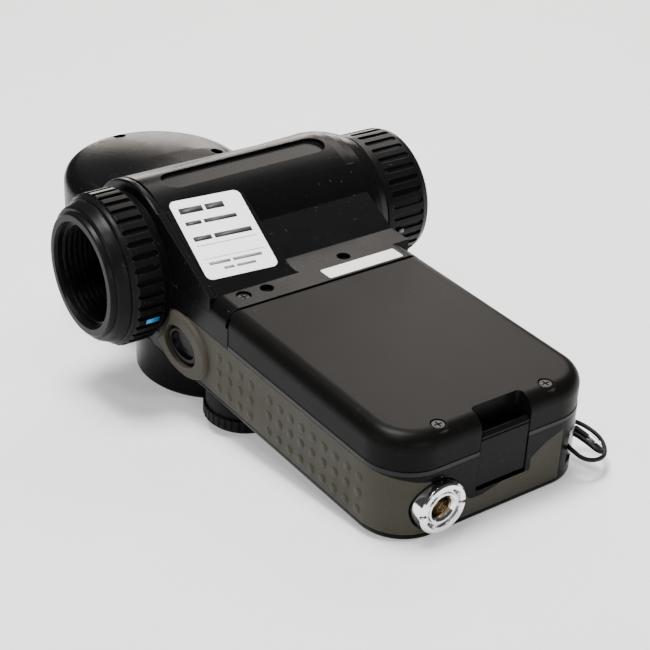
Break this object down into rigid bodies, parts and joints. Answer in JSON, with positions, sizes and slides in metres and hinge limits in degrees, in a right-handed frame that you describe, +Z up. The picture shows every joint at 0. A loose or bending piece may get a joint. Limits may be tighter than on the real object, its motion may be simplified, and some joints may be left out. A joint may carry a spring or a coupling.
{
  "type": "handheld light meter",
  "caption": "Handheld exposure meter lying on its front: flat body, cross spot-finder barrel with ribbed rings and a swivelling light head.",
  "frame": {"origin": "on the surface the meter lies on, under the middle of its box (cord left out)", "axes": "+Y from the body's bottom face towards the swivelling head, +Z up out of the back, +X along the finder barrel towards the eyepiece; the meter's length is tipped 8.2 degrees to Y because it rests on its lower front edge and its front drum"},
  "size_m": [0.0924, 0.1729, 0.053],
  "materials": {
    "casing": "satin",
    "cover": "satin",
    "deck": "matte",
    "inner_plastic": "matte",
    "grip": "matte",
    "soft_rubber": "matte",
    "key_rubber": "matte",
    "steel": "satin",
    "black_screw": "satin",
    "socket": "polished",
    "brass": "satin",
    "ring": "black anodised",
    "optic_tube": "black anodised, matte",
    "lens_glass": "coated, clear",
    "window": "smoked, clear",
    "label": "satin",
    "serial": "satin",
    "board": "satin",
    "display": "gloss",
    "cell": "gloss",
    "battery": "satin",
    "diffuser": "satin",
    "cord": "braided",
    "ferrule": "polished",
    "prism": "clear"
  },
  "bodies": {
    "meter_body": {"front_casing": "casing", "rear_housing": "casing", "mid_casing": "deck", "latch_pin": "steel", "latch_spring": "steel", "rubber_trim": "grip", "tripod_socket": "socket", "strap_pin": "steel", "strap_cord": "cord", "cord_sleeve": "soft_rubber", "cord_ferrule": "ferrule", "housing_screw": "black_screw", "label_plate": "label", "serial_plate": "serial", "measuring_switch": "inner_plastic", "jog_axle": "steel", "display_window": "window", "display_module": "display", "keypad": "soft_rubber", "main_board": "board", "radio_board": "board", "battery": "battery", "battery_contacts": "brass", "sync_terminal": "brass", "objective_tube": "optic_tube", "objective_front_ring": "ring", "objective_lens": "lens_glass", "relay_lens": "lens_glass", "finder_chassis": "inner_plastic", "image_prism": "prism", "reticle_plate": "prism", "spot_sensor": "cell", "eyepiece_tube": "optic_tube"},
    "cover": {"back_cover": "cover", "cover_screws": "black_screw"},
    "latch": {"battery_latch": "casing"},
    "measuring_button": {"measuring_button": "casing"},
    "jog_wheel": {"jog_wheel": "soft_rubber"},
    "sync_cap": {"sync_cap": "soft_rubber"},
    "selector_ring": {"selector_ring": "ring"},
    "dioptre_ring": {"eyepiece_ring": "ring", "eyecup": "soft_rubber"},
    "eyepiece": {"eyepiece_lens_cell": "optic_tube", "eyepiece_lens": "lens_glass"},
    "head": {"head_back_shell": "casing", "head_front_shell": "casing", "head_screws": "black_screw", "swivel_shaft": "optic_tube", "photocell_board": "board", "photocell": "cell"},
    "lumisphere_ring": {"lumisphere_ring": "ring"},
    "lumisphere": {"lumisphere": "diffuser"},
    "power_key": {"power_key": "key_rubber"},
    "mode_key": {"mode_key": "key_rubber"},
    "memory_key": {"memory_key": "key_rubber"},
    "average_key": {"average_key": "key_rubber"},
    "film_speed_1_key": {"film_speed_1_key": "key_rubber"},
    "film_speed_2_key": {"film_speed_2_key": "key_rubber"}
  },
  "joints": [
    {"name": "head_swivel", "type": "hinge", "parent": "meter_body", "child": "head", "pos_m": [0, 0.03518, 0.02805], "axis": [0, 0.9897, 0.1429], "range_deg": [-90, 180]},
    {"name": "lumisphere_turn", "type": "hinge", "parent": "head", "child": "lumisphere_ring", "pos_m": [0, 0.06114, 0.01967], "axis": [0, -0.1429, 0.9897], "range_deg": [0, 60]},
    {"name": "lumisphere_retract", "type": "slide", "parent": "head", "child": "lumisphere", "axis": [0, -0.1429, 0.9897], "range_m": [0, 0.0035]},
    {"name": "selector_turn", "type": "hinge", "parent": "meter_body", "child": "selector_ring", "pos_m": [0, 0.01503, 0.03322], "axis": [1, 0, 0], "range_deg": [-30, 30]},
    {"name": "dioptre_turn", "type": "hinge", "parent": "meter_body", "child": "dioptre_ring", "pos_m": [0, 0.01503, 0.03322], "axis": [1, 0, 0], "range_deg": [-60, 60]},
    {"name": "dioptre_focus", "type": "slide", "parent": "meter_body", "child": "eyepiece", "axis": [1, 0, 0], "range_m": [-0.0015, 0.0015]},
    {"name": "jog_wheel_spin", "type": "hinge", "parent": "meter_body", "child": "jog_wheel", "pos_m": [-0.0224, -0.01578, 0.00452], "axis": [0, -0.1429, 0.9897], "continuous": true},
    {"name": "measuring_button_press", "type": "slide", "parent": "meter_body", "child": "measuring_button", "axis": [1, 0, 0], "range_m": [0, 0.0012], "stiffness_N_per_m": 600},
    {"name": "cover_open", "type": "hinge", "parent": "meter_body", "child": "cover", "pos_m": [-0.00465, -0.02649, 0.03248], "axis": [-1, 0, 0], "range_deg": [0, 75]},
    {"name": "latch_pull", "type": "hinge", "parent": "meter_body", "child": "latch", "pos_m": [-0.00365, -0.08274, 0.0092], "axis": [1, 0, 0], "range_deg": [0, 14], "stiffness_Nm_per_rad": 0.05},
    {"name": "sync_cap_pull", "type": "slide", "parent": "meter_body", "child": "sync_cap", "axis": [1, 0, 0], "range_m": [0, 0.008]},
    {"name": "power_key_press", "type": "slide", "parent": "meter_body", "child": "power_key", "axis": [0, -0.1429, 0.9897], "range_m": [0, 0.0005], "stiffness_N_per_m": 900},
    {"name": "mode_key_press", "type": "slide", "parent": "meter_body", "child": "mode_key", "axis": [0, -0.1429, 0.9897], "range_m": [0, 0.0005], "stiffness_N_per_m": 900},
    {"name": "memory_key_press", "type": "slide", "parent": "meter_body", "child": "memory_key", "axis": [0, -0.1429, 0.9897], "range_m": [0, 0.0005], "stiffness_N_per_m": 900},
    {"name": "average_key_press", "type": "slide", "parent": "meter_body", "child": "average_key", "axis": [0, -0.1429, 0.9897], "range_m": [0, 0.0005], "stiffness_N_per_m": 900},
    {"name": "film_speed_1_key_press", "type": "slide", "parent": "meter_body", "child": "film_speed_1_key", "axis": [0, -0.1429, 0.9897], "range_m": [0, 0.0005], "stiffness_N_per_m": 900},
    {"name": "film_speed_2_key_press", "type": "slide", "parent": "meter_body", "child": "film_speed_2_key", "axis": [0, -0.1429, 0.9897], "range_m": [0, 0.0005], "stiffness_N_per_m": 900}
  ],
  "couplings": [
    {"joint": "dioptre_turn", "follows": "dioptre_focus", "rad_per_m": 698.1},
    {"joint": "lumisphere_turn", "follows": "lumisphere_retract", "rad_per_m": 299.19}
  ]
}
